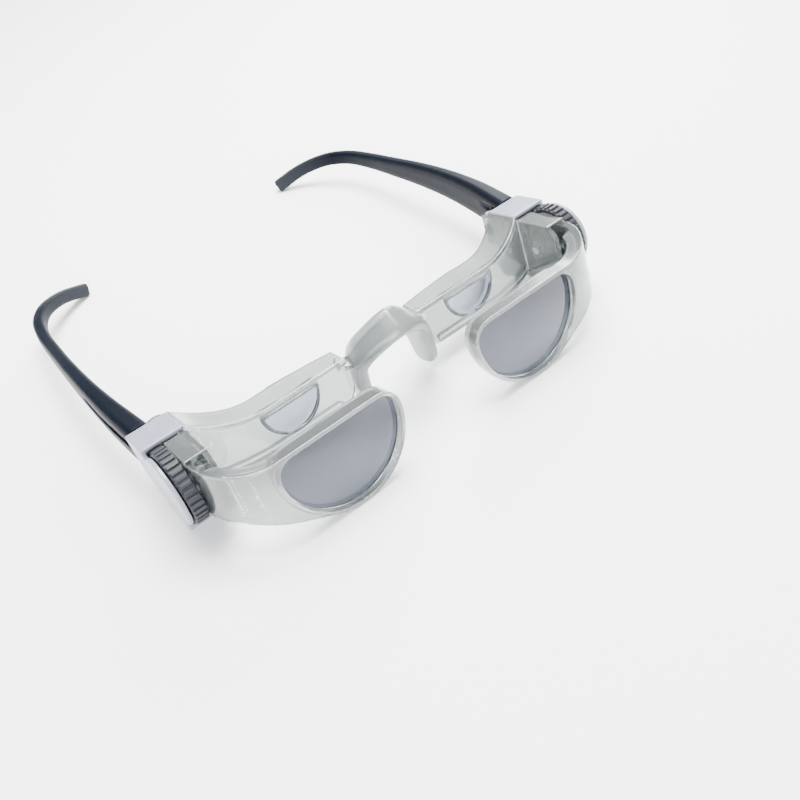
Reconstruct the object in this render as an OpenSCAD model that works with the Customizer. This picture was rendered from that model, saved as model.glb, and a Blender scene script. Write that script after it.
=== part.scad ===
// Binocular magnifying glasses: a pair of small telescopes worn on the nose.
// Each half has a fixed ocular lens, an objective lens on a sliding carrier,
// and a thumbwheel whose spiral groove moves that carrier to focus.
// Everything is drawn with +Y as the line of sight and the ocular plane at
// y = 0, then pitched forward so that it stands on its rims and temple tips.

/* [Optics] */
// Distance between the two lens axes, the wearer's pupil distance
pupil_distance = 64; // [60:1:68]
// Radius of the D shaped ocular lens
ocular_r = 9.2; // [8:0.1:10]
// Height of the ocular's flat top over the lens axis
ocular_flat = 0.4; // [-1:0.1:0.5]
// Thickness of the ocular lens at its edge
ocular_edge = 2.6; // [2:0.1:3.4]
// Radius of curvature of the hollow ocular faces
ocular_curve_r = 42; // [36:1:70]
// Outer radius of the objective's rim
rim_r = 19; // [17:0.1:19.4]
// Width of the rim round the objective lens
rim_w = 1.1; // [0.9:0.1:1.6]
// Distance of the objective's axis below the ocular's axis
objective_drop = 4; // [3:0.1:6]
// Radius of curvature of the bulging front of the objective lens
objective_curve_r = 90; // [80:1:200]
// Distance from the ocular plane to the front of the carriers
front_y = 24.2; // [22:0.1:27]

/* [Rear frame] */
// Height of the frame's upper edge over the lens axis
frame_top = 2.3; // [2.2:0.1:3.5]
// Height of the frame's lower edge, below the lens axis
frame_bottom = -11; // [-13:0.1:-10.4]
// Thickness of the moulded walls
wall = 1.8; // [1.4:0.1:2.2]
// Depth of the upper flange beside the bridge
flange_depth = 7.2; // [6:0.1:8.4]
// Depth of the lower flange
lip_depth = 4; // [2.5:0.1:5]
// Distance from the middle to where the front starts to sweep back
sweep_x = 38; // [36:0.5:42]
// Radius of the sweep in plan
sweep_r = 40; // [38:0.5:44]

/* [Side housing] */
// Distance from the middle to the inner face of the end plate
plate_x = 58.5; // [57:0.1:60]
// Height of the end plate's upper edge
plate_top = 7.4; // [7:0.1:8]
// Height of the housing's lower edge at its rear
housing_low = -4.6; // [-6:0.1:-3]
// Distance from the ocular plane to the end plate's front edge
plate_front = 10; // [8.5:0.1:10.5]
// Distance from the ocular plane to the rear of the housing
plate_rear = -18.4; // [-20:0.1:-18]
// Wall of the side cover
cover_wall = 1.2; // [1:0.1:1.3]
// Distance from the ocular plane to the rear end of the wheel slot, at its top
slot_y = -6.4; // [-6.8:0.1:-6.2]
// Distance from the ocular plane to the lower end of the wheel slot
slot_low_y = 2; // [0:0.1:3]
// Width of the wheel, along its axle
wheel_w = 4; // [3.4:0.1:5]
// Outer radius of the wheel over its ribs
wheel_r = 10.8; // [10.4:0.1:10.8]
// Height of the ribs on the rim
rib_h = 0.6; // [0.4:0.1:0.8]
// Number of ribs round the rim
rib_count = 34; // [24:1:40]
// Height of the wheel's axle, from the lens axis
axle_z = -2.4; // [-2.8:0.1:-2.4]
// Distance from the ocular plane to the wheel's axle
axle_y = 0.2; // [0:0.1:1]
// Radius of the wheel's axle
axle_r = 1.2; // [1:0.05:1.4]
// Travel of the carrier for one turn of the spiral groove
scroll_pitch = 5; // [4.6:0.1:5.4]
// Distance from the wheel's edge in to the follower pin, at mid focus
follower_inset = 4.8; // [4.8:0.1:5]
// Radius of the follower pin
follower_pin_r = 0.8; // [0.6:0.05:0.9]
// Distance that the carrier slides each way
travel = 2; // [1:0.1:2]

/* [Objective carrier] */
// Thickness of the carrier's arm and curved wall
arm_t = 1.8; // [1.5:0.1:2]
// Depth of the carrier's upper flange
carrier_flange = 4.5; // [3:0.1:4.5]
// Radius at which the carrier's wall turns back to the housing
carrier_turn = 16; // [14:0.1:17]
// Height of the arm's upper edge
arm_top = 5.7; // [5:0.1:5.7]
// Height of the arm's lower edge
arm_bottom = -10.2; // [-10.4:0.1:-9.6]
// Distance from the ocular plane to the arm's rear end
arm_rear = -5; // [-5.4:0.1:-4.6]

/* [Temple] */
// Height of the temple at its hinge end
temple_h = 12.2; // [11:0.1:12.6]
// Width of the temple at its hinge end
temple_w = 7.4; // [7:0.1:8]
// Length of the temple, from the housing to its tip along the line of sight
temple_l = 116.2; // [108:0.1:118]
// Distance from the end plate's inner face out to the hinge pin
pivot_inset = 3.1; // [2.9:0.1:3.3]
// Distance from the rear of the housing back to the hinge pin
pivot_back = 3.2; // [3:0.1:3.6]
// Radius of the hinge knuckles
knuckle_r = 3; // [2.6:0.1:3.1]
// Height of the temple's tongue between the knuckles
tongue_h = 4; // [3:0.1:5]
// Radius of the hinge pin
hinge_pin_r = 0.9; // [0.7:0.05:1.1]
// Radius of the lanyard hole in the end of the temple tip
lanyard_r = 0.9; // [0.6:0.05:1.1]
// Depth of the lanyard hole, from the end of the tip
lanyard_depth = 4; // [3:0.1:6]

/* [Nose saddle] */
// Thickness of the soft saddle
saddle_t = 4; // [3.6:0.1:4.4]
// Width of the saddle's band at the crown
saddle_w = 9.6; // [8.5:0.1:10.4]
// Distance from the ocular plane forward to the saddle's crown
crown_y = 9; // [7:0.1:10]
// Height of the saddle's crown over the lens axis
crown_z = 8.6; // [7:0.1:10]
// Thickness of the frame's bridge bar, inside the saddle
bar_t = 1.6; // [1.2:0.1:1.8]
// Width of the bridge bar
bar_w = 5; // [4:0.1:6]

/* [Fits and stance] */
// Gap between pieces that slide or turn past each other
gap = 0.4; // [0.3:0.05:0.45]
// Radial clearance of pins and shafts in their bores
fit = 0.05; // [0.02:0.01:0.1]
// Depth of the small flats that the rims and temple tips stand on
foot_flat = 0.15; // [0.1:0.01:0.3]

/* [Hidden] */
$fn = 64;

eye_x = pupil_distance / 2;
far = 200;
seam = 0.1;

// Seats of the lenses
ocular_seat = 0.5;
ocular_rim = 1;
rim_fillet = 6;
rim_back = 5.6;
objective_edge = 1.4;

// The sweep of the rear frame in plan and in front view
rear_sweep_x = 42;
rear_sweep_r = 28;
rise_x = 38;
housing_top = plate_top + 0.6;
rise_r = (pow(plate_x - rise_x, 2) + pow(housing_top - frame_top, 2))
    / (2 * (housing_top - frame_top));
wall_in = 13;
nose_fillet = 5;
// The flange's rear edge in plan, from the bridge to the hinge
flange_edge = [[wall_in - 3, -flange_depth], [20, -flange_depth - 1.6], [30, -flange_depth - 2.8],
    [45, -flange_depth - 3.4], [plate_x, plate_rear + 0.2]];
lip_t = 1.4;

// Layers of the side housing, from the inside out
plate_t = 1.6;
arm_out = plate_x + plate_t + 4.9;
arm_in = arm_out - arm_t;
wheel_in = arm_out + gap;
wheel_out = wheel_in + wheel_w;
washer_t = 0.3;
cover_in = wheel_out + gap;
cover_out = cover_in + cover_wall;
scroll_t = 1.2;
groove_d = 0.9;
rim_in = wheel_r - rib_h - 0.9;
boss_r = 2.6;
rail_t = 1;
post_r = 1;
post_y = axle_y - wheel_r - gap - post_r;
post_zs = [4, -2];
cover_front_r = wheel_r - 0.9;
follower_r = wheel_r - follower_inset;

// Carrier wall
objective_z = -objective_drop;
carrier_top = frame_top;
carrier_rise_x = 48;
carrier_rise_r = (pow(arm_out - carrier_rise_x, 2) + pow(arm_top - carrier_top, 2))
    / (2 * (arm_top - carrier_top));
turn_x = arm_out - carrier_turn;
turn_y = front_y - carrier_turn;

// Hinge
pivot_x = plate_x + pivot_inset;
pivot_y = plate_rear - pivot_back;
tongue_z = 0.5;
knuckle_top = 5.6;
knuckle_bottom = housing_low;
pin_head_h = 0.4;

// Recesses of the temple's root; both run along its rising top edge
root_slope = 11;
strip_l = 28;
strip_h = 2.2;
strip_drop = 5;
strip_d = 0.7;
inner_l = 24;
inner_drop = 4.2;
inner_floor = 5.6;
mark_w = 0.9;
mark_h = 3;

// Stations along the temple, from the hinge to the tip:
// [share of the length, distance of the outer face in from the housing's,
// rise of the top edge, height, width]
temple_stations = [
    [0, 0, 0, temple_h, temple_w],
    [0.062, -0.6, 1.6, temple_h - 0.2, temple_w - 0.4],
    [0.148, -1.2, 3.6, temple_h - 0.8, temple_w - 1.2],
    [0.268, -1.4, 5.6, 10.2, 5.2],
    [0.406, -1.2, 7.1, 8.6, 4.6],
    [0.561, -0.6, 8.1, 6.8, 4.3],
    [0.682, 0.2, 9, 5.6, 4.1],
    [0.785, 2.4, 10.1, 5, 4],
    [0.871, 7.5, 10.4, 4.8, 4],
    [0.944, 15.5, 8.8, 4.8, 4],
    [1, 24.5, 5.4, 5, 4.2]];
temple_out = cover_out - 0.2;
temple_front = plate_rear - gap;
temple_path = smooth_list([for (s = temple_stations)
    [temple_out - s[1] - s[4] / 2, temple_front - s[0] * temple_l,
        housing_top + s[2] - s[3] / 2, s[3], s[4]]], 4);
temple_sides = 16;
band_sides = 12;
tip = temple_path[len(temple_path) - 1];
before_tip = temple_path[len(temple_path) - 2];
tip_dir = unit([tip[0] - before_tip[0], tip[1] - before_tip[1], tip[2] - before_tip[2]]);

// Stations of the saddle's right half, from its lobe to its crown:
// [x, y, z, direction of its width in x, y and z, half its width, thickness]
saddle_half = [
    [11.7, 0.2, -13, 0.1, 1, 0, 2.6, saddle_t - 1],
    [11.4, 0.2, -11, 0.1, 1, 0, 4, saddle_t],
    [11.1, 0.2, -5, 0.15, 1, 0, 4.8, saddle_t],
    [10, 0.8, 0.6, 0.2, 0.95, -0.25, 5.4, saddle_t],
    [6.2, crown_y - 3.6, crown_z - 3.2, 0.2, 0.85, -0.5, saddle_w / 2 + 0.2, saddle_t],
    [0, crown_y, crown_z, 0, 0.74, -0.67, saddle_w / 2, saddle_t]];
function mirrored(s) = [-s[0], s[1], s[2], -s[3], s[4], s[5], s[6], s[7]];
saddle_path = concat(saddle_half, [for (i = [len(saddle_half) - 2:-1:0]) mirrored(saddle_half[i])]);
bar_end = [wall_in + 2, -2.8, frame_top - 2.2, 0.3, 0.9, -0.1, 0, 0];
bar_half = concat([bar_end], [for (i = [3:5]) saddle_half[i]]);
bar_path = concat(bar_half, [for (i = [2:-1:0]) mirrored(bar_half[i])]);

// The glasses stand on the rims' lower edges and on the temple tips
rim_foot = [front_y - arm_t, objective_z - rim_r];
tip_foot = temple_ring(tip, tip_dir)[floor(temple_sides * 3 / 4)];
pitch = atan((rim_foot[1] - tip_foot[2]) / (tip_foot[1] - rim_foot[0]));
stand_z = -rim_foot[1] * cos(pitch) - rim_foot[0] * sin(pitch) - foot_flat;
reach_front = front_y * cos(pitch) - rim_foot[1] * sin(pitch);
reach_rear = min([for (p = temple_ring(tip, tip_dir)) p[1] * cos(pitch) - p[2] * sin(pitch)]);
stand_y = -(reach_front + reach_rear) / 2;

// Stand the glasses on a table, out of the optical frame
module stand() {
    translate([0, stand_y, stand_z]) rotate([pitch, 0, 0]) children();
}

// The same, with small flats where the piece meets the table
module stand_flat() {
    difference() {
        stand() children();
        translate([-far, -far, -far]) cube([2 * far, 2 * far, far]);
    }
}

module left_side() {
    mirror([1, 0, 0]) children();
}

// A cylinder along +X from x0 to x1
module rod_x(x0, x1, r, y = 0, z = 0) {
    translate([x0, y, z]) rotate([0, 90, 0]) cylinder(r = r, h = x1 - x0);
}

// Extrude a front view, drawn in x and z, along +Y
module front_view(y0, y1) {
    translate([0, y1, 0]) rotate([90, 0, 0]) linear_extrude(y1 - y0) children();
}

// Extrude a side view, drawn in y and z, along +X
module side_view(x0, x1) {
    translate([x0, 0, 0]) rotate([90, 0, 90]) linear_extrude(x1 - x0) children();
}

// The D outline of a lens or rim, inset by e from the rim's outer edge
module d_outline(e) {
    r = rim_r - e;
    flat = carrier_top - e;
    rf = rim_fillet - e;
    z = flat - rf - objective_z;
    x = sqrt(pow(r - rf, 2) - z * z);
    difference() {
        translate([eye_x, objective_z]) circle(r = r, $fn = 128);
        translate([eye_x - far / 2, flat]) square([far, far]);
        for (s = [-1, 1]) translate([eye_x + s * x, flat - rf])
            translate([s > 0 ? 0 : -far, 0]) square([far, far]);
    }
    for (s = [-1, 1]) translate([eye_x + s * x, flat - rf]) circle(r = rf, $fn = 64);
}

// The D outline of the ocular lens, inset by e
module ocular_outline(e) {
    difference() {
        translate([eye_x, 0]) circle(r = ocular_r - e, $fn = 96);
        translate([eye_x - far / 2, ocular_flat - e]) square([far, far]);
    }
}

// Plan region behind the frame's front surface, inset by e
module frame_plan(e) {
    translate([-seam, -far - e]) square([sweep_x + seam, far]);
    translate([sweep_x, -sweep_r]) circle(r = sweep_r - e, $fn = 160);
}

// Plan region behind the upper flange
module flange_rear_plan() {
    edge = smooth_list(flange_edge, 5);
    polygon(concat([[-seam, -far], [-seam, -flange_depth]], edge, [[far, plate_rear], [far, -far]]));
}

// Front view of the space above a flange whose upper edge rises outwards
module above_edge(z, x, r) {
    translate([-seam, z]) square([x + seam, r]);
    translate([x, z + r]) circle(r = r, $fn = 200);
}

// Front view of half the ocular wall, with its rounded corner beside the nose
module ocular_wall_view() {
    difference() {
        union() {
            translate([wall_in + nose_fillet, frame_bottom])
                square([plate_x + seam - wall_in - nose_fillet, housing_top - frame_bottom]);
            translate([wall_in, frame_bottom + nose_fillet])
                square([2 * nose_fillet, housing_top - frame_bottom - nose_fillet]);
            translate([wall_in + nose_fillet, frame_bottom + nose_fillet]) circle(r = nose_fillet);
        }
        above_edge(frame_top, rise_x, rise_r);
    }
}

// Wall, flanges and lens seat of the wearer's right half
module ocular_wall() {
    difference() {
        intersection() {
            linear_extrude(far, center = true) difference() {
                frame_plan(0);
                frame_plan(wall);
            }
            front_view(plate_rear, 1) ocular_wall_view();
        }
        front_view(-wall - 1, 1) ocular_outline(ocular_rim);
        front_view(-wall - 1, -ocular_seat) ocular_outline(0);
    }
}

module upper_flange() {
    intersection() {
        translate([0, 0, -far / 2]) linear_extrude(far) difference() {
            intersection() {
                frame_plan(0);
                translate([wall_in, -far]) square([plate_x + seam - wall_in, 2 * far]);
            }
            flange_rear_plan();
        }
        front_view(plate_rear - 2, 1) difference() {
            translate([0, frame_bottom]) square([plate_x + seam, housing_top - frame_bottom]);
            above_edge(frame_top, rise_x, rise_r);
            difference() {
                translate([-1, frame_bottom - 1])
                    square([plate_x + 2, housing_top + 1 - frame_bottom]);
                above_edge(frame_top - wall, rise_x, rise_r + wall);
            }
        }
    }
}

module lower_flange() {
    start = wall_in + nose_fillet;
    translate([0, 0, frame_bottom]) linear_extrude(lip_t) difference() {
        intersection() {
            frame_plan(0);
            translate([start, plate_rear]) square([plate_x + seam - start, far]);
        }
        frame_plan(lip_depth);
    }
}

// Side view of the housing, inset by e: round below the wheel, flat on top
module housing_view(e) {
    axis = [axle_y, axle_z];
    round_r = wheel_r + gap + cover_wall - e;
    rear_low = [plate_rear + e, housing_low + e];
    intersection() {
        union() {
            translate(axis) circle(r = round_r, $fn = 128);
            polygon([[plate_rear + e, housing_top - e], rear_low,
                tangent_point(axis, round_r, rear_low, 1), axis, [axle_y, housing_top - e]]);
        }
        translate([plate_rear, -far + housing_top - e]) square([far, far]);
    }
}

// Plate beside the wheel, with the rails that guide the carrier's arm
module end_plate() {
    rail_start = slot_y + 0.3;
    rail_low = arm_bottom - gap - rail_t;
    difference() {
        union() {
            side_view(plate_x, plate_x + plate_t) intersection() {
                housing_view(cover_wall + 0.1);
                translate([plate_rear, rail_low])
                    square([plate_front - plate_rear, plate_top - rail_low]);
            }
            rod_x(plate_x, arm_in - gap, boss_r, axle_y, axle_z);
            for (z = [[rail_low, arm_bottom - gap], [arm_top + gap, housing_top - cover_wall - 0.1]])
                translate([plate_x, rail_start, z[0]])
                    cube([arm_out - plate_x, plate_front - 2 - rail_start, z[1] - z[0]]);
        }
        rod_x(plate_x - 1, arm_in, axle_r + 0.02, axle_y, axle_z);
        for (z = post_zs) rod_x(plate_x - 1, arm_out, post_r + 0.05, post_y, z);
    }
}

// Clear block with two lugs that carry the hinge pin
module hinge_block() {
    difference() {
        union() {
            translate([pivot_x, pivot_y, knuckle_bottom])
                cylinder(r = knuckle_r, h = knuckle_top - knuckle_bottom);
            translate([pivot_x - knuckle_r, pivot_y, knuckle_bottom])
                cube([2 * knuckle_r, pivot_back + 1.2, knuckle_top - knuckle_bottom]);
            translate([plate_x, plate_rear + 1, housing_low + cover_wall + 0.3])
                cube([knuckle_r + 2, 1.6, knuckle_top - housing_low - cover_wall - 0.3]);
        }
        translate([pivot_x - far / 2, pivot_y - knuckle_r - 1, tongue_z - tongue_h / 2 - gap / 2])
            cube([far, 2 * knuckle_r + 1 + gap, tongue_h + gap]);
        translate([pivot_x, pivot_y, knuckle_bottom - 1])
            cylinder(r = hinge_pin_r + 0.02, h = knuckle_top - knuckle_bottom + 2);
    }
}

module frame_half() {
    ocular_wall();
    upper_flange();
    lower_flange();
    end_plate();
    hinge_block();
}

// A band swept through stations; e widens it all round
function band_ring(c, before, after, half_w, half_t) =
    let (tangent = unit([after[0] - before[0], after[1] - before[1], after[2] - before[2]]),
        w = [c[3], c[4], c[5]], across = unit(w - (w * tangent) * tangent),
        out = cross(across, tangent))
    [for (j = [0:band_sides - 1])
        let (q = squircle(half_w, half_t, 360 * (j + 0.5) / band_sides))
        [c[0], c[1], c[2]] + q[0] * across + q[1] * out];

module bridge_bar(e) {
    s = smooth_list(bar_path, 4);
    skin([for (i = [0:len(s) - 1]) band_ring(s[i], station(s, i - 1), station(s, i + 1),
        bar_w / 2 + e, bar_t / 2 + e)]);
}

module rear_frame() {
    color([0.8, 0.83, 0.83, 0.6]) stand() {
        frame_half();
        left_side() frame_half();
        bridge_bar(0);
    }
}

// A point between stations b and c of a list, on a smooth curve
function smooth_point(a, b, c, d, u) =
    0.5 * (2 * b + (c - a) * u + (2 * a - 5 * b + 4 * c - d) * u * u
    + (3 * b - a - 3 * c + d) * u * u * u);
function station(list, i) = list[max(0, min(len(list) - 1, i))];
function smooth_list(list, steps) = [
    for (i = [0:len(list) - 2], k = [0:steps - 1])
        smooth_point(station(list, i - 1), list[i], list[i + 1], station(list, i + 2), k / steps),
    list[len(list) - 1]];
function unit(v) = v / norm(v);

// Where a line from point p touches a circle, on the side that turn picks
function tangent_point(c, r, p, turn) =
    let (d = p - c, l = norm(d), a = atan2(d[1], d[0]) + turn * acos(r / l))
    c + r * [cos(a), sin(a)];

// A point of a rounded rectangle, half width a and half height b
function squircle(a, b, t) = [
    a * sign(cos(t)) * pow(abs(cos(t)), 0.55), b * sign(sin(t)) * pow(abs(sin(t)), 0.55)];

// Skin a closed solid over rings that all have the same number of points
module skin(rings) {
    n = len(rings[0]);
    m = len(rings);
    points = [for (r = rings, p = r) p];
    sides = [for (i = [0:m - 2], j = [0:n - 1])
        let (a = i * n + j, b = i * n + (j + 1) % n) each [[a, b, b + n], [a, b + n, a + n]]];
    caps = [[for (j = [n - 1:-1:0]) j], [for (j = [0:n - 1]) (m - 1) * n + j]];
    polyhedron(points = points, faces = concat(sides, caps));
}

function temple_ring(c, tangent) =
    let (side = unit(cross(tangent, [0, 0, 1])), up = cross(side, tangent))
    [for (j = [0:temple_sides - 1])
        let (q = squircle(c[4] / 2, c[3] / 2, 360 * (j + 0.5) / temple_sides))
        [c[0], c[1], c[2]] + q[0] * side + q[1] * up];

module temple_body() {
    skin([for (i = [0:len(temple_path) - 1])
        let (a = station(temple_path, i - 1), b = station(temple_path, i + 1),
            t = i == 0 ? [0, -1, 0] : unit([b[0] - a[0], b[1] - a[1], b[2] - a[2]]))
        temple_ring(temple_path[i], t)]);
}

// Place a cut that runs back from the hinge along the temple's top edge
module along_top(drop) {
    translate([0, pivot_y, housing_top - drop]) rotate([-root_slope, 0, 0]) children();
}

module temple() {
    clear_r = knuckle_r + gap;
    tongue_low = tongue_z - tongue_h / 2;
    difference() {
        temple_body();
        // Room for the frame's lugs at every angle of the hinge
        for (z = [[housing_low - 3, tongue_low], [tongue_low + tongue_h, knuckle_top + 0.8]])
            translate([pivot_x, pivot_y, z[0]]) cylinder(r = clear_r, h = z[1] - z[0]);
        translate([pivot_x - far / 2, pivot_y, housing_low - 3])
            cube([far / 2 + clear_r, far, knuckle_top + 0.8 - housing_low + 3]);
        // Long strip on the outside, and the recess inside that ends in a notch
        along_top(strip_drop) translate([temple_out - strip_d, -strip_l, 0])
            cube([strip_d + 3, 2 * strip_l, strip_h]);
        along_top(inner_drop) translate([pivot_x - 1, -inner_l, 0])
            cube([inner_floor - pivot_inset + 2, inner_l - clear_r, strip_h]);
        along_top(inner_drop) translate([pivot_x - 1, -inner_l - 3 * mark_w, strip_h - mark_h])
            cube([inner_floor - pivot_inset + 2.4, mark_w, mark_h]);
        translate([pivot_x, pivot_y, tongue_low - 1]) cylinder(r = hinge_pin_r + fit, h = tongue_h + 2);
        // Blind lanyard hole in the end of the tip
        translate([tip[0], tip[1], tip[2]])
            rotate([0, acos(tip_dir[2]), atan2(tip_dir[1], tip_dir[0])])
            translate([0, 0, -lanyard_depth]) cylinder(r = lanyard_r, h = lanyard_depth + 2);
    }
    difference() {
        union() {
            translate([pivot_x, pivot_y, tongue_low]) cylinder(r = knuckle_r, h = tongue_h);
            translate([pivot_x, pivot_y - knuckle_r, tongue_low])
                cube([clear_r + 2, 2 * knuckle_r - 0.2, tongue_h]);
        }
        translate([pivot_x, pivot_y, tongue_low - 1]) cylinder(r = hinge_pin_r + fit, h = tongue_h + 2);
    }
}

// Soft saddle moulded round the bridge bar, with a lobe at each side of the nose
module saddle() {
    s = smooth_list(saddle_path, 3);
    difference() {
        skin([for (i = [0:len(s) - 1]) band_ring(s[i], station(s, i - 1), station(s, i + 1),
            s[i][6], s[i][7] / 2)]);
        bridge_bar(0.02);
        for (side = [-1, 1]) translate([side > 0 ? wall_in - 0.05 : -far - wall_in + 0.05,
            -far + 0.05, -far / 2]) cube([far, far, far]);
    }
}

module nose_saddle() {
    color([0.78, 0.81, 0.81, 0.8]) stand() saddle();
}

// Turn a profile, drawn as radius and height, round a lens axis along +Y
module lens_turning(z) {
    translate([eye_x, 0, z]) rotate([-90, 0, 0]) rotate_extrude($fn = 128) children();
}

// Hollow D shaped ocular lens, in its seat behind the wall
module ocular_lens() {
    back = -ocular_seat - ocular_edge;
    intersection() {
        front_view(back, -ocular_seat) ocular_outline(0.05);
        lens_turning(0) difference() {
            translate([0, back - 1]) square([ocular_r + 2, ocular_edge + 2]);
            for (s = [-1, 1]) translate([0, back + ocular_edge / 2 + s * (ocular_curve_r + 0.5)])
                circle(r = ocular_curve_r, $fn = 720);
        }
    }
}

module ocular_lens_right() { color([0.75, 0.82, 0.85, 0.35]) stand() ocular_lens(); }
module ocular_lens_left() { color([0.75, 0.82, 0.85, 0.35]) stand() left_side() ocular_lens(); }

// Plan region inside the carrier's outer surface, inset by e
module carrier_plan(e) {
    translate([0, turn_y]) square([turn_x, carrier_turn - e]);
    translate([0, -far]) square([arm_out - e, far + turn_y]);
    translate([turn_x, turn_y]) circle(r = carrier_turn - e, $fn = 96);
}

module carrier_view() {
    centre = [eye_x, objective_z];
    corner = [arm_in - 1, arm_bottom];
    d_outline(0);
    difference() {
        polygon([centre, tangent_point(centre, rim_r, corner, -1), corner,
            [arm_out, arm_bottom], [arm_out, arm_top + 1], [eye_x, arm_top + 1]]);
        above_edge(carrier_top, carrier_rise_x, carrier_rise_r);
    }
}

module carrier() {
    difference() {
        union() {
            intersection() {
                linear_extrude(far, center = true) difference() {
                    carrier_plan(0);
                    carrier_plan(arm_t);
                }
                front_view(arm_rear, front_y + 1) carrier_view();
            }
            // Upper flange
            intersection() {
                translate([0, 0, -far / 2]) linear_extrude(far) intersection() {
                    difference() {
                        carrier_plan(0);
                        carrier_plan(carrier_flange);
                    }
                    translate([eye_x - rim_r + rim_fillet, plate_front + gap + travel])
                        square([far, far]);
                }
                front_view(0, front_y + 1) intersection() {
                    carrier_view();
                    above_edge(carrier_top - rim_w, carrier_rise_x, carrier_rise_r + rim_w);
                }
            }
            // Rim round the lens, deep at the top and shallow at the bottom
            difference() {
                front_view(front_y - rim_back, front_y) difference() {
                    d_outline(0);
                    d_outline(rim_w);
                }
                translate([0, front_y - arm_t, objective_z - rim_r])
                    rotate([atan((rim_back - arm_t) / (rim_r + carrier_top - objective_z)), 0, 0])
                    translate([0, -far, -far / 2]) cube([far, far, far]);
            }
        }
        front_view(front_y - rim_back - 1, front_y + 1) d_outline(rim_w);
        // Slot that clears the axle over the whole travel
        for (s = [-1, 1])
            rod_x(arm_in - 1, arm_out + 1, axle_r + gap, axle_y + s * (travel + 0.3), axle_z);
        translate([arm_in - 1, axle_y - travel - 0.3, axle_z - axle_r - gap])
            cube([arm_t + 2, 2 * travel + 0.6, 2 * (axle_r + gap)]);
        rod_x(arm_in - 1, arm_out + 1, follower_pin_r, axle_y + follower_r, axle_z);
    }
}

module objective_carrier_right() { color([0.84, 0.86, 0.86, 0.6]) stand_flat() carrier(); }
module objective_carrier_left() {
    color([0.84, 0.86, 0.86, 0.6]) stand_flat() left_side() carrier();
}

// D shaped objective lens with a bulging front
module objective() {
    front = front_y - 0.2;
    sag = objective_curve_r - sqrt(pow(objective_curve_r, 2) - pow(rim_r, 2));
    back = front - objective_edge - 2 * sag;
    intersection() {
        front_view(back, front) d_outline(rim_w + 0.05);
        lens_turning(objective_z) intersection() {
            translate([0, back]) square([rim_r + 2, front - back]);
            translate([0, front - objective_curve_r]) circle(r = objective_curve_r, $fn = 720);
            translate([0, back + objective_curve_r]) circle(r = objective_curve_r, $fn = 720);
        }
    }
}

module objective_lens_right() { color([0.6, 0.66, 0.7, 0.35]) stand() objective(); }
module objective_lens_left() { color([0.6, 0.66, 0.7, 0.35]) stand() left_side() objective(); }

module follower() {
    rod_x(arm_in, wheel_in + groove_d - 0.2, follower_pin_r, axle_y + follower_r, axle_z);
}

module follower_pin_right() { color([0.7, 0.71, 0.73]) stand() follower(); }
module follower_pin_left() { color([0.7, 0.71, 0.73]) stand() left_side() follower(); }

// Ribbed thumbwheel
module wheel() {
    difference() {
        union() {
            rod_x(wheel_in, wheel_out, wheel_r - rib_h, axle_y, axle_z, $fn = 96);
            for (i = [0:rib_count - 1]) translate([wheel_in + 0.3, axle_y, axle_z])
                rotate([i * 360 / rib_count, 0, 0])
                translate([0, -0.5, wheel_r - rib_h - 0.5]) cube([wheel_w - 0.6, 1, rib_h + 0.5]);
        }
        rod_x(wheel_in - 1, wheel_in + scroll_t, rim_in, axle_y, axle_z);
        rod_x(wheel_in - 1, wheel_out + 1, axle_r + fit, axle_y, axle_z);
    }
}

module focus_wheel_right() { color([0.27, 0.28, 0.32]) stand() wheel(); }
module focus_wheel_left() { color([0.27, 0.28, 0.32]) stand() left_side() wheel(); }

// Side view of the spiral groove, from the half angle a0 each way
module spiral_view(a0, half) {
    a = [for (t = [-a0:6:a0]) t];
    polygon(concat(
        [for (t = a) (follower_r + scroll_pitch * t / 360 + half) * [cos(t), sin(t)]],
        [for (t = [a0:-6:-a0]) (follower_r + scroll_pitch * t / 360 - half) * [cos(t), sin(t)]]));
    for (s = [-1, 1]) translate((follower_r + s * scroll_pitch * a0 / 360) * [cos(a0), s * sin(a0)])
        circle(r = half, $fn = 32);
}

// Clear disc in the wheel, whose spiral groove drives the follower pin
module scroll_disc() {
    difference() {
        rod_x(wheel_in, wheel_in + scroll_t - 0.02, rim_in - 0.03, axle_y, axle_z);
        rod_x(wheel_in - 1, wheel_out, axle_r + fit, axle_y, axle_z);
        translate([0, axle_y, axle_z]) side_view(wheel_in - 1, wheel_in + groove_d)
            spiral_view(travel / scroll_pitch * 360 + 6, follower_pin_r + 0.15);
    }
}

module scroll_disc_right() { color([0.8, 0.84, 0.85, 0.5]) stand() scroll_disc(); }
module scroll_disc_left() { color([0.8, 0.84, 0.85, 0.5]) stand() left_side() scroll_disc(); }

module axle() {
    rod_x(plate_x, cover_in + cover_wall - 0.5, axle_r, axle_y, axle_z);
}

module wheel_axle_right() { color([0.55, 0.56, 0.58]) stand() axle(); }
module wheel_axle_left() { color([0.55, 0.56, 0.58]) stand() left_side() axle(); }

// Washer that keeps the wheel from turning by itself
module washer() {
    difference() {
        rod_x(wheel_out + 0.05, wheel_out + 0.05 + washer_t, 4, axle_y, axle_z);
        rod_x(wheel_out - 1, wheel_out + 2, axle_r + 0.1, axle_y, axle_z);
    }
}

module friction_washer_right() { color([0.6, 0.6, 0.62]) stand() washer(); }
module friction_washer_left() { color([0.6, 0.6, 0.62]) stand() left_side() washer(); }

// Side view of the part of the cover behind the wheel slot
module behind_slot() {
    intersection() {
        children();
        polygon([[-far, far], [slot_y, far], [slot_y, housing_top - 2], [slot_low_y, axle_z - wheel_r],
            [slot_low_y, -far], [-far, -far]]);
    }
}

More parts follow.
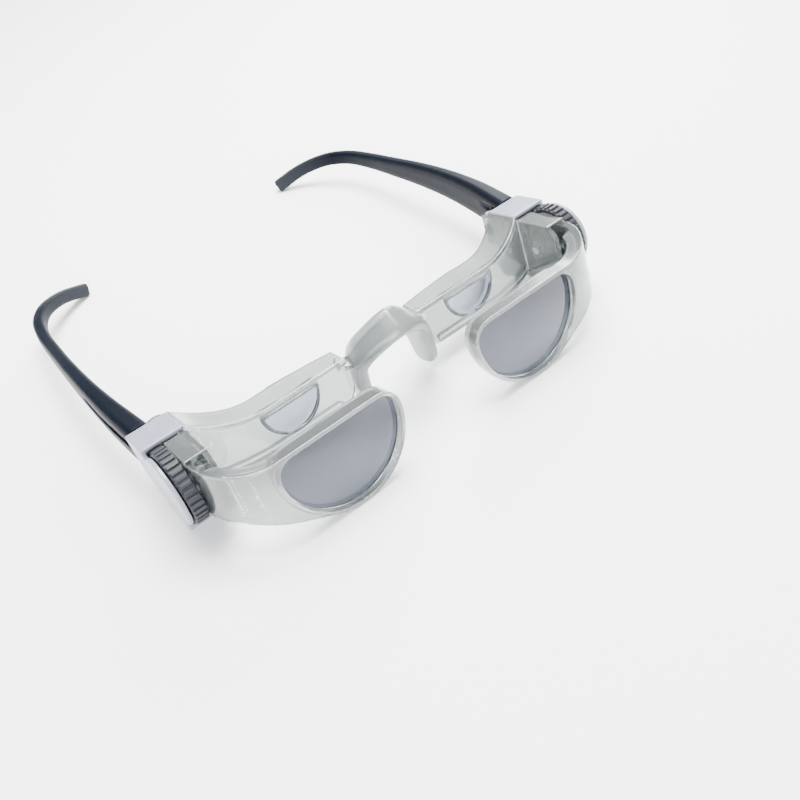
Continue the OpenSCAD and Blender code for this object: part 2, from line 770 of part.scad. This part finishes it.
// Pearl grey cover, open to the inside, with a slot for the wheel
module cover() {
    difference() {
        union() {
            side_view(plate_x + 0.1, cover_out) behind_slot() housing_view(0);
            rod_x(cover_in, cover_out, cover_front_r, axle_y, axle_z, $fn = 96);
        }
        side_view(plate_x - 1, cover_in) housing_view(cover_wall);
        translate([0, plate_rear - 1, knuckle_bottom - 1])
            cube([pivot_x + knuckle_r + 0.3, cover_wall + 2, knuckle_top - knuckle_bottom + 1.3]);
        rod_x(cover_in - 1, cover_in + cover_wall - 0.4, axle_r + fit, axle_y, axle_z);
    }
    for (z = post_zs) rod_x(plate_x + 0.1, cover_in + 0.1, post_r, post_y, z);
}

module side_cover_right() { color([0.74, 0.75, 0.8]) stand() cover(); }
module side_cover_left() { color([0.74, 0.75, 0.8]) stand() left_side() cover(); }

module hinge_pin() {
    translate([pivot_x, pivot_y, knuckle_bottom + 0.3])
        cylinder(r = hinge_pin_r, h = knuckle_top - knuckle_bottom - 0.3);
    translate([pivot_x, pivot_y, knuckle_top]) cylinder(r = hinge_pin_r + 0.6, h = pin_head_h);
}

module hinge_pin_right() { color([0.6, 0.61, 0.63]) stand() hinge_pin(); }
module hinge_pin_left() { color([0.6, 0.61, 0.63]) stand() left_side() hinge_pin(); }

module temple_right() { color([0.13, 0.17, 0.24]) stand_flat() temple(); }
module temple_left() { color([0.13, 0.17, 0.24]) stand_flat() left_side() temple(); }

rear_frame();
nose_saddle();
ocular_lens_right();
ocular_lens_left();
objective_carrier_right();
objective_carrier_left();
objective_lens_right();
objective_lens_left();
follower_pin_right();
follower_pin_left();
focus_wheel_right();
focus_wheel_left();
scroll_disc_right();
scroll_disc_left();
wheel_axle_right();
wheel_axle_left();
friction_washer_right();
friction_washer_left();
side_cover_right();
side_cover_left();
hinge_pin_right();
hinge_pin_left();
temple_right();
temple_left();
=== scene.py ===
import math

import bmesh
import bpy
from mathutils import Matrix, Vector


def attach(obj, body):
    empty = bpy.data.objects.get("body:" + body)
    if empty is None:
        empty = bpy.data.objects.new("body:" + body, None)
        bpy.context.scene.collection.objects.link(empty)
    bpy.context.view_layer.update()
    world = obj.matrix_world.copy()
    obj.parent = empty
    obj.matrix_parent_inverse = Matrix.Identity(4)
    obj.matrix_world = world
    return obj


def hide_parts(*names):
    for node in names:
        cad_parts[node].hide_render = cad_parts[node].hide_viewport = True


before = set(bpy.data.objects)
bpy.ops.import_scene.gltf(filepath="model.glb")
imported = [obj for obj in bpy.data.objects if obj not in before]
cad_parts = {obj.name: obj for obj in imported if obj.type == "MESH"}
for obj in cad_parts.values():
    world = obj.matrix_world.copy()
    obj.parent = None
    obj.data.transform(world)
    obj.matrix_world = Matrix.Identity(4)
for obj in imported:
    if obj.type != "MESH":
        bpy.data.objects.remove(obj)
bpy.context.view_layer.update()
MM = 0.001
SIDES = ("right", "left")


# Front frame. One clear moulding of polycarbonate carries both oculars, the bridge
# bar, the end plates beside the wheels and the hinge lugs. Its faces are frosted by
# a fine spark texture in the mould, and its edges are rounded by the tool.

def linear(code):
    """Turn an sRGB hex colour such as "#c8cdcb" into linear RGBA."""
    channels = [int(code[i:i + 2], 16) / 255 for i in (1, 3, 5)]
    return [c / 12.92 if c <= 0.04045 else ((c + 0.055) / 1.055) ** 2.4 for c in channels] + [1]


def add(owner, kind, inputs=None, **settings):
    """Add a node to a material or world; an input that is a socket is linked, others are set."""
    node = owner.node_tree.nodes.new("ShaderNode" + kind)
    for name, value in settings.items():
        setattr(node, name, value)
    for name, value in (inputs or {}).items():
        if isinstance(value, bpy.types.NodeSocket):
            owner.node_tree.links.new(value, node.inputs[name])
        else:
            node.inputs[name].default_value = value
    return node


def new_material(name):
    material = bpy.data.materials.new(name)
    material.use_nodes = True
    material.node_tree.nodes.clear()
    return material


# The span that most of a noise texture's values lie in
noise_low, noise_high = 0.3, 0.7


def frosted_clear_moulding(name, grain_mm, roughness, clear, tint, shade, painted_edge_highlight):
    """Clear plastic with a spark texture: light glows through it softly, with dull glints.

    A real spark texture is under a tenth of a millimetre, so grain_mm is drawn coarser to
    show. Convex edges are painted near-white, a painted highlight for the light that
    moulded edges catch; the last argument sets its share.
    """
    polycarbonate_ior = 1.585
    cloud_mm = 14
    flattest_edge, sharpest_edge = 0.51, 0.57
    material = new_material(name)
    place = add(material, "TexCoord").outputs["Object"]
    grain = add(material, "TexNoise", {"Vector": place, "Scale": 1 / (grain_mm * MM), "Detail": 3.0})
    cloud = add(material, "TexNoise", {"Vector": place, "Scale": 1 / (cloud_mm * MM), "Detail": 2.0})
    body = add(material, "Mix", {
        "Factor": cloud.outputs["Fac"], "A": linear(shade), "B": linear(tint)}, data_type="RGBA")
    edge = add(material, "MapRange", {
        "Value": add(material, "NewGeometry").outputs["Pointiness"],
        "From Min": flattest_edge, "From Max": sharpest_edge, "To Min": 0.0, "To Max": painted_edge_highlight})
    # Painted highlight: convex edges, found by pointiness, are mixed towards near-white #f4f7f6 for
    # the light they catch
    colour = add(material, "Mix", {
        "Factor": edge.outputs["Result"], "A": body.outputs["Result"], "B": linear("#f4f7f6")},
        data_type="RGBA")
    dullness = add(material, "MapRange", {
        "Value": grain.outputs["Fac"], "From Min": noise_low, "From Max": noise_high,
        "To Min": roughness - 0.04, "To Max": roughness + 0.05})
    relief = add(material, "Bump", {
        "Height": grain.outputs["Fac"], "Strength": 0.06, "Distance": 0.02 * MM})
    shader = add(material, "BsdfPrincipled", {
        "Base Color": colour.outputs["Result"], "Roughness": dullness.outputs["Result"],
        "Normal": relief.outputs["Normal"], "IOR": polycarbonate_ior,
        "Transmission Weight": clear, "Coat Weight": 0.5, "Coat Roughness": 0.1})
    add(material, "OutputMaterial", {"Surface": shader.outputs["BSDF"]})
    return material


def moulded(name, node, grid_mm, rounding, material):
    """A copy of a CAD node as a moulding, its sharp edges rounded as the tool leaves them.

    The copy is remeshed on a grid of grid_mm, then each step of rounding eases its edges.
    """
    shape = bmesh.new()
    shape.from_mesh(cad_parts[node].data)
    bmesh.ops.remove_doubles(shape, verts=shape.verts, dist=0.001 * MM)
    mesh = bpy.data.meshes.new(name)
    shape.to_mesh(mesh)
    shape.free()
    piece = bpy.data.objects.new(name, mesh)
    bpy.context.scene.collection.objects.link(piece)
    remesh = piece.modifiers.new("Grid", "REMESH")
    remesh.mode = "VOXEL"
    remesh.voxel_size = grid_mm * MM
    remesh.use_smooth_shade = True
    soften = piece.modifiers.new("Soften", "SMOOTH")
    soften.factor = 0.5
    soften.iterations = rounding
    bpy.context.view_layer.update()
    depsgraph = bpy.context.evaluated_depsgraph_get()
    rounded = bpy.data.meshes.new_from_object(piece.evaluated_get(depsgraph))
    piece.modifiers.clear()
    piece.data = rounded
    for polygon in rounded.polygons:
        polygon.use_smooth = True
    rounded.materials.clear()
    rounded.materials.append(material)
    return piece


frame_plastic = frosted_clear_moulding(
    "spark_textured_polycarbonate_frame", grain_mm=0.35, roughness=0.14, clear=0.9,
    tint="#a9b0ae", shade="#949b99", painted_edge_highlight=0.85)
front_frame = moulded("front_frame", "rear_frame", grid_mm=0.26, rounding=4, material=frame_plastic)
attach(front_frame, "root")
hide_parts("rear_frame")


# Oculars. Small D shaped hollow lenses of clear lens plastic, polished on both
# faces and pressed into their seats behind the frame's wall.

def polished_lens_plastic(name, tint, coating):
    """Polished lens plastic: clear, with the faint violet of an anti-reflection coating."""
    acrylic_ior = 1.49
    dust_mm = 0.8
    material = new_material(name)
    place = add(material, "TexCoord").outputs["Object"]
    dust = add(material, "TexNoise", {"Vector": place, "Scale": 1 / (dust_mm * MM), "Detail": 4.0})
    haze = add(material, "MapRange", {
        "Value": dust.outputs["Fac"], "From Min": 0.45, "From Max": 0.8,
        "To Min": 0.01, "To Max": 0.06})
    shader = add(material, "BsdfPrincipled", {
        "Base Color": linear(tint), "Roughness": haze.outputs["Result"], "IOR": acrylic_ior,
        "Transmission Weight": 1.0, "Specular Tint": linear(coating),
        "Coat Weight": 0.35, "Coat Roughness": 0.03, "Coat Tint": linear(coating)})
    add(material, "OutputMaterial", {"Surface": shader.outputs["BSDF"]})
    return material


ocular_plastic = polished_lens_plastic("polished_ocular_plastic", tint="#9ca2a8", coating="#c6c7d2")
for side in SIDES:
    ocular = moulded("ocular_" + side, "ocular_lens_" + side, grid_mm=0.16, rounding=2,
                     material=ocular_plastic)
    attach(ocular, "root")
    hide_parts("ocular_lens_" + side)


# Nose saddle. Soft translucent silicone moulded round the bridge bar, satin to the
# touch, with a rounded lobe at each side of the nose and no sharp edge anywhere.

saddle_silicone = frosted_clear_moulding(
    "satin_silicone_saddle", grain_mm=0.5, roughness=0.34, clear=0.6,
    tint="#9aa1a0", shade="#7d8585", painted_edge_highlight=0.0)
saddle = moulded("nose_saddle_skin", "nose_saddle", grid_mm=0.28, rounding=40,
                 material=saddle_silicone)
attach(saddle, "root")
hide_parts("nose_saddle")


# Focus wheels. Dark grey injection-moulded wheels with ribs across the rim for the
# finger. Each holds a clear disc whose spiral groove drives the carrier's pin.

def matt_plastic(name, colour, worn, roughness, grain_mm, coat=0.0, shine=0.5):
    """Moulded plastic with a fine matt grain, a little paler where fingers rub it."""
    plastic_ior = 1.5
    rubbed_patch_mm = 6
    material = new_material(name)
    place = add(material, "TexCoord").outputs["Object"]
    grain = add(material, "TexNoise", {"Vector": place, "Scale": 1 / (grain_mm * MM), "Detail": 5.0})
    rub = add(material, "TexNoise", {
        "Vector": place, "Scale": 1 / (rubbed_patch_mm * MM), "Detail": 3.0})
    rubbed = add(material, "MapRange", {
        "Value": rub.outputs["Fac"], "From Min": 0.5, "From Max": 0.75,
        "To Min": 0.0, "To Max": 0.5})
    tone = add(material, "Mix", {
        "Factor": rubbed.outputs["Result"], "A": linear(colour), "B": linear(worn)},
        data_type="RGBA")
    dullness = add(material, "MapRange", {
        "Value": grain.outputs["Fac"], "From Min": noise_low, "From Max": noise_high,
        "To Min": roughness - 0.05, "To Max": roughness + 0.07})
    relief = add(material, "Bump", {
        "Height": grain.outputs["Fac"], "Strength": 0.15, "Distance": 0.03 * MM})
    shader = add(material, "BsdfPrincipled", {
        "Base Color": tone.outputs["Result"], "Roughness": dullness.outputs["Result"],
        "Normal": relief.outputs["Normal"], "IOR": plastic_ior, "Specular IOR Level": shine,
        "Coat Weight": coat, "Coat Roughness": 0.12})
    add(material, "OutputMaterial", {"Surface": shader.outputs["BSDF"]})
    return material


wheel_plastic = matt_plastic("matt_abs_wheel", colour="#1f2228", worn="#363940",
                             roughness=0.45, grain_mm=0.3, shine=0.3)
disc_plastic = frosted_clear_moulding(
    "clear_acetal_disc", grain_mm=0.6, roughness=0.16, clear=0.85,
    tint="#f2f4f4", shade="#e0e4e4", painted_edge_highlight=0.0)
for side in SIDES:
    wheel = moulded("thumbwheel_" + side, "focus_wheel_" + side, grid_mm=0.16, rounding=2,
                    material=wheel_plastic)
    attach(wheel, side + "_wheel")
    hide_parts("focus_wheel_" + side)
    disc = moulded("groove_disc_" + side, "scroll_disc_" + side, grid_mm=0.16, rounding=2,
                   material=disc_plastic)
    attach(disc, side + "_wheel")
    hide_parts("scroll_disc_" + side)


# Axles, hinge pins, follower pins and washers. The pins are turned steel, left with
# fine lathe marks, and the washers are plain nylon. The CAD nodes show as they are.

def turned_steel(name, colour, roughness):
    """Turned steel: rings from the lathe tool that catch the light.

    Real lathe marks are finer than a tenth of a millimetre, and are drawn coarser to show.
    """
    ring_mm = 0.4
    material = new_material(name)
    place = add(material, "TexCoord").outputs["Object"]
    rings = add(material, "TexWave", {
        "Vector": place, "Scale": 1 / (ring_mm * MM), "Distortion": 1.5, "Detail": 2.0},
        bands_direction="X")
    dullness = add(material, "MapRange", {
        "Value": rings.outputs["Fac"], "To Min": roughness - 0.05, "To Max": roughness + 0.1})
    relief = add(material, "Bump", {
        "Height": rings.outputs["Fac"], "Strength": 0.1, "Distance": 0.02 * MM})
    shader = add(material, "BsdfPrincipled", {
        "Base Color": linear(colour), "Metallic": 1.0, "Roughness": dullness.outputs["Result"],
        "Normal": relief.outputs["Normal"]})
    add(material, "OutputMaterial", {"Surface": shader.outputs["BSDF"]})
    return material


steel = turned_steel("turned_steel", colour="#b9bcc1", roughness=0.28)
nylon = matt_plastic("moulded_nylon_washer", colour="#b9bab8", worn="#c9cac8",
                     roughness=0.5, grain_mm=0.4)
for side in SIDES:
    for part, finish in (("wheel_axle_", steel), ("hinge_pin_", steel), ("follower_pin_", steel),
                         ("friction_washer_", nylon)):
        cad_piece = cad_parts[part + side]
        cad_piece.data.materials.clear()
        cad_piece.data.materials.append(finish)


# Side covers. Pearl grey ABS shells over the wheels, clipped to the end plates by
# two posts; the lacquer gives them a soft lilac cast.

cover_plastic = matt_plastic("pearl_lacquered_abs", colour="#7e828f", worn="#8d919d",
                             roughness=0.3, grain_mm=0.5, coat=0.4)
for side in SIDES:
    cover = moulded("wheel_cover_" + side, "side_cover_" + side, grid_mm=0.2, rounding=18,
                    material=cover_plastic)
    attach(cover, "root")
    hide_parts("side_cover_" + side)


# Objective carriers. Clear mouldings like the frame, whose arms slide between the
# end plate's rails and whose rims hold the large lenses.

carrier_plastic = frosted_clear_moulding(
    "spark_textured_polycarbonate_carrier", grain_mm=0.35, roughness=0.2, clear=0.88,
    tint="#9fa6a5", shade="#8b9291", painted_edge_highlight=0.85)
for side in SIDES:
    carrier = moulded("carrier_" + side, "objective_carrier_" + side, grid_mm=0.2, rounding=4,
                      material=carrier_plastic)
    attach(carrier, side + "_objective")
    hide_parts("objective_carrier_" + side)


# Objectives. Large D shaped bulging lenses, polished, darker than the oculars and
# with the same faint violet coating.

objective_plastic = polished_lens_plastic("coated_objective_plastic", tint="#5b6066",
                                          coating="#babac8")
for side in SIDES:
    objective = moulded("objective_" + side, "objective_lens_" + side, grid_mm=0.22, rounding=3,
                        material=objective_plastic)
    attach(objective, side + "_objective")
    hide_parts("objective_lens_" + side)


# Temples. Satin navy nylon, moulded with a long recess outside and another inside
# at the root, with a lanyard hole in the end; the hooked tips are painted grey, a
# painted sheen for the light their satin catches.

def nylon_with_painted_tip_sheen(name, navy, worn, grey, painted_sheen_begins_mm, painted_sheen_full_mm):
    """Satin navy nylon with a painted sheen: navy runs to grey towards the tip, between two places
    along Y.
    """
    material = matt_plastic(name, navy, worn, roughness=0.42, grain_mm=0.35, shine=0.06)
    tree = material.node_tree
    shader = next(node for node in tree.nodes if node.type == "BSDF_PRINCIPLED")
    navy_colour = shader.inputs["Base Color"].links[0].from_socket
    place = add(material, "SeparateXYZ", {"Vector": add(material, "TexCoord").outputs["Object"]})
    # Painted sheen: beyond the two places in Y the navy is mixed to grey, standing in for the
    # highlight on the tips
    along = add(material, "MapRange", {
        "Value": place.outputs["Y"], "From Min": painted_sheen_full_mm * MM, "From Max": painted_sheen_begins_mm * MM,
        "To Min": 1.0, "To Max": 0.0})
    mixed = add(material, "Mix", {
        "Factor": along.outputs["Result"], "A": navy_colour, "B": linear(grey)},
        data_type="RGBA")
    tree.links.new(mixed.outputs["Result"], shader.inputs["Base Color"])
    return material


# The grey at the tips is painted sheen, not a second colour of nylon
temple_plastic = nylon_with_painted_tip_sheen("satin_navy_nylon_painted_tip_sheen", navy="#050a13", worn="#090f1a",
                              grey="#26292e", painted_sheen_begins_mm=-62, painted_sheen_full_mm=-78)
for side in SIDES:
    temple = moulded("temple_arm_" + side, "temple_" + side, grid_mm=0.28, rounding=8,
                     material=temple_plastic)
    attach(temple, side + "_temple")
    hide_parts("temple_" + side)


# Studio. A pale paper floor under a sky that brightens from the horizon up, a large
# soft light overhead, two fills, and a camera that looks down from the front.

floor_half_m = 3
floor_grain_mm = 3
floor_corners = [(x * floor_half_m, y * floor_half_m, 0)
                 for x, y in ((-1, -1), (1, -1), (1, 1), (-1, 1))]
floor_mesh = bpy.data.meshes.new("floor")
floor_mesh.from_pydata(floor_corners, [], [(0, 1, 2, 3)])
floor = bpy.data.objects.new("floor", floor_mesh)
bpy.context.scene.collection.objects.link(floor)
paper = new_material("white_studio_paper")
paper_grain = add(paper, "TexNoise", {
    "Vector": add(paper, "TexCoord").outputs["Object"],
    "Scale": 1 / (floor_grain_mm * MM), "Detail": 4.0})
paper_tone = add(paper, "Mix", {
    "Factor": paper_grain.outputs["Fac"], "A": linear("#fafbfc"), "B": linear("#fdfdfd")},
    data_type="RGBA")
paper_shader = add(paper, "BsdfPrincipled", {
    "Base Color": paper_tone.outputs["Result"], "Roughness": 0.8})
add(paper, "OutputMaterial", {"Surface": paper_shader.outputs["BSDF"]})
floor_mesh.materials.append(paper)

world = bpy.data.worlds.new("studio")
world.use_nodes = True
world.node_tree.nodes.clear()
height = add(world, "SeparateXYZ", {"Vector": add(world, "TexCoord").outputs["Generated"]})
rise = add(world, "MapRange", {"Value": height.outputs["Z"], "From Min": 0.05, "From Max": 0.75})
sky = add(world, "Mix", {
    "Factor": rise.outputs["Result"], "A": linear("#888e95"), "B": linear("#ffffff")},
    data_type="RGBA")
glow = add(world, "Background", {"Color": sky.outputs["Result"], "Strength": 1.7})
add(world, "OutputWorld", {"Surface": glow.outputs["Background"]})
bpy.context.scene.world = world


def soft_light(name, place, target, size, watts):
    lamp = bpy.data.lights.new(name, "AREA")
    lamp.size = size
    lamp.energy = watts
    holder = bpy.data.objects.new(name, lamp)
    bpy.context.scene.collection.objects.link(holder)
    holder.location = place
    look = Vector(target) - Vector(place)
    holder.rotation_euler = look.to_track_quat("-Z", "Y").to_euler()


soft_light("overhead", place=(-0.15, -0.1, 0.7), target=(0, 0, 0), size=0.5, watts=26)
soft_light("from_left_rear", place=(-0.6, -0.5, 0.45), target=(0, 0, 0.02), size=0.3, watts=9)
soft_light("from_front", place=(0.3, 0.8, 0.35), target=(0, 0, 0.02), size=0.4, watts=8)

picture_px, focal_px = 800, 850
camera_place_mm = (90.85, 218.2, 163.31)
camera_turn_deg = (47.217, 10.592, 141.287)
camera_data = bpy.data.cameras.new("camera")
camera_data.sensor_width = 36
camera_data.lens = camera_data.sensor_width * focal_px / picture_px
camera_data.clip_start = 10 * MM
camera = bpy.data.objects.new("camera", camera_data)
bpy.context.scene.collection.objects.link(camera)
camera.location = [distance * MM for distance in camera_place_mm]
camera.rotation_euler = [math.radians(angle) for angle in camera_turn_deg]
bpy.context.scene.camera = camera
